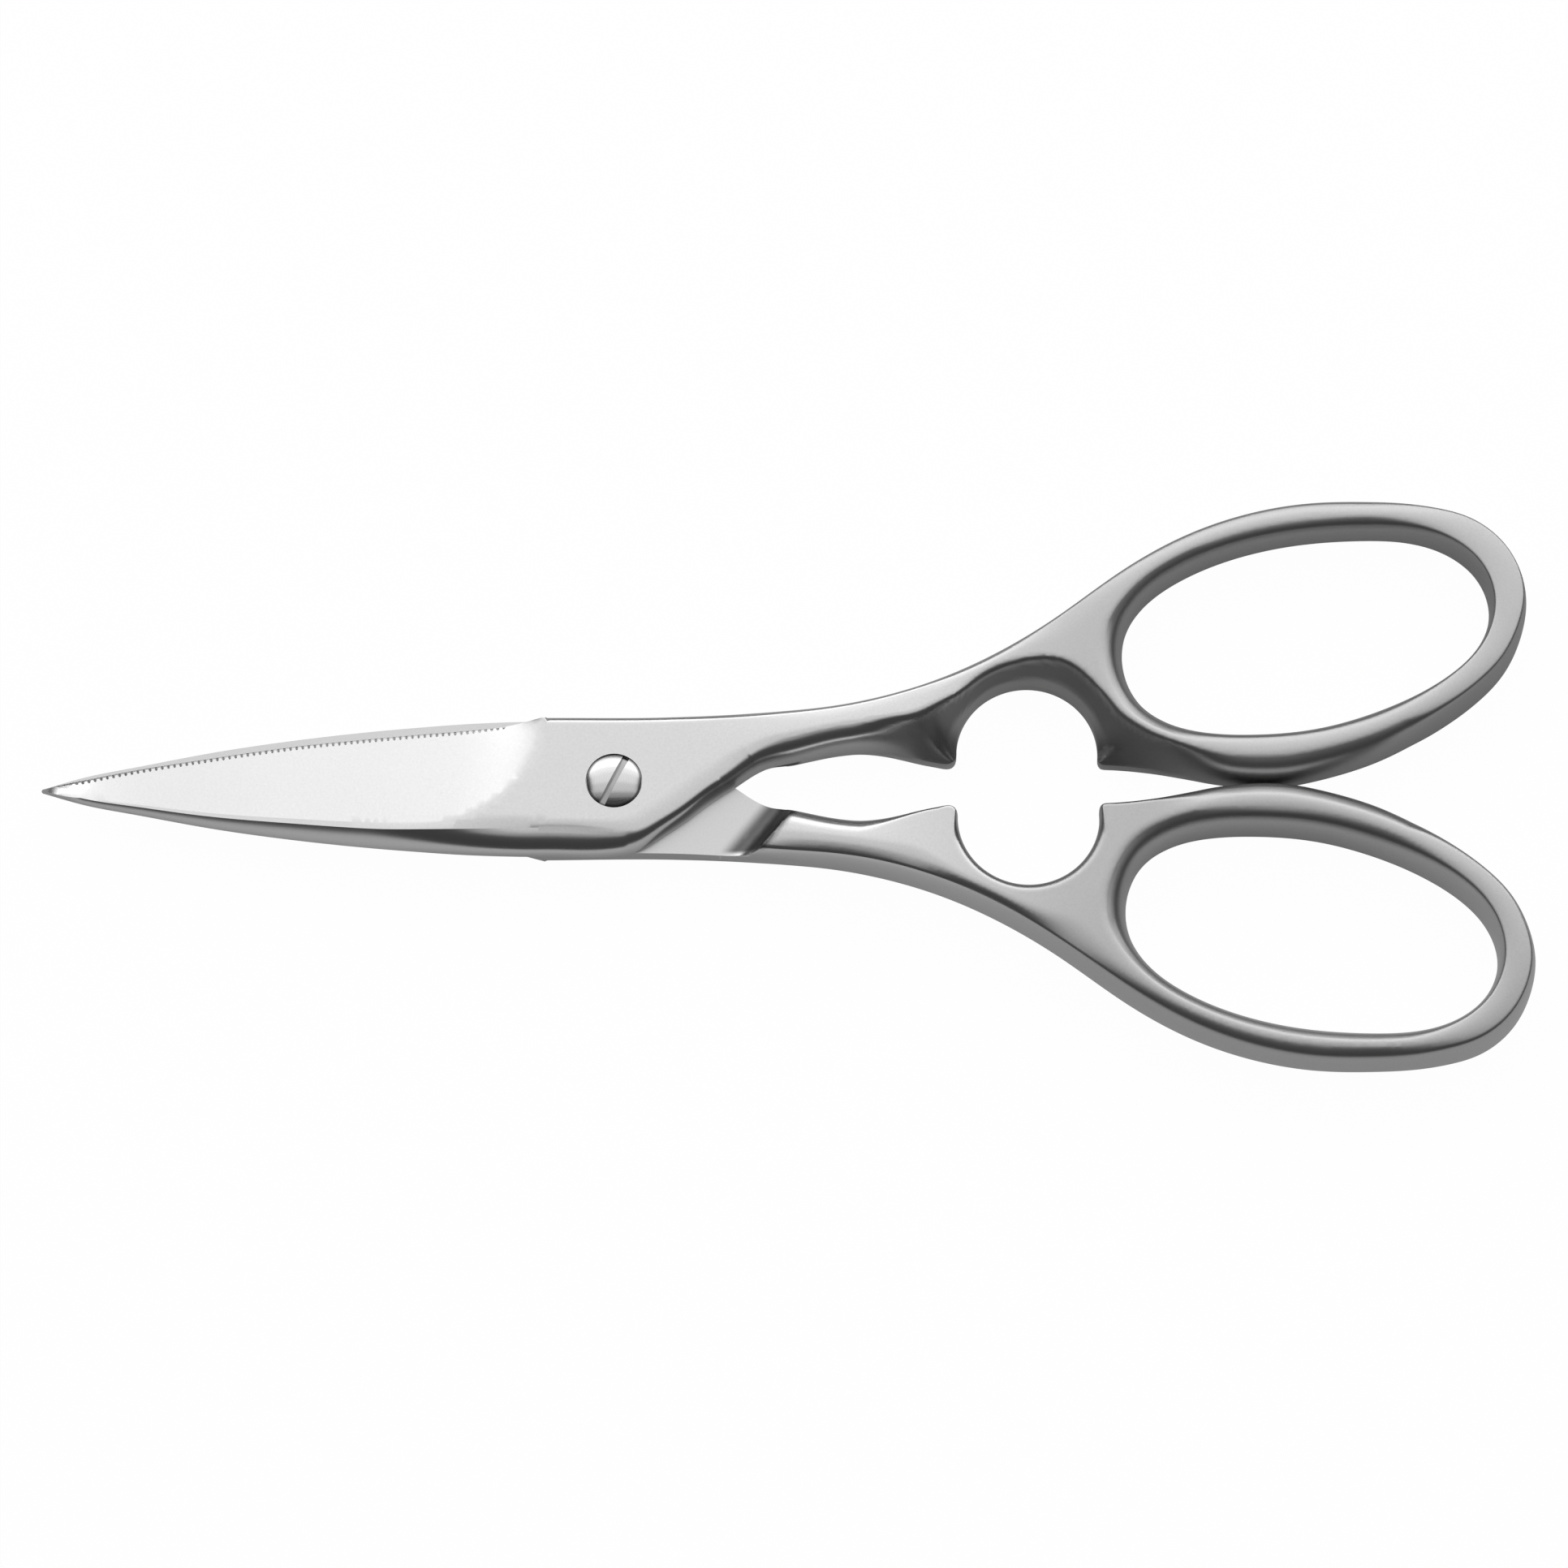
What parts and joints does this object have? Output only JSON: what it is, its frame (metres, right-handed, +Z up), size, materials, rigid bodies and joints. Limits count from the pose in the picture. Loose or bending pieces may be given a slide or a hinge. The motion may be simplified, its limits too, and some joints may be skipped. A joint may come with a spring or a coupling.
{
  "type": "kitchen shears",
  "caption": "All-metal forged kitchen shears lying closed: serrated front blade, slotted pivot screw, cap gripper between the shanks and an oval finger loop on each handle.",
  "frame": {"origin": "under the middle of the closed shears, on the plane that they lie on", "axes": "+X from the blade tips to the finger loops, +Y towards the front half's finger loop, +Z up out of the face that the screw head is in"},
  "size_m": [0.2097, 0.0832, 0.0104],
  "materials": {
    "forged_steel": "satin handles, brushed blades",
    "screw_steel": "turned and polished",
    "washer_steel": "plain"
  },
  "bodies": {
    "rear": {"rear_half": "forged_steel", "pivot_screw": "screw_steel", "friction_washer": "washer_steel", "pivot_nut": "screw_steel"},
    "front": {"front_half": "forged_steel"}
  },
  "joints": [
    {"name": "pivot", "type": "hinge", "parent": "rear", "child": "front", "pos_m": [-0.0241, 0, 0.0052], "axis": [0, 0, 1], "range_deg": [0, 114]}
  ]
}
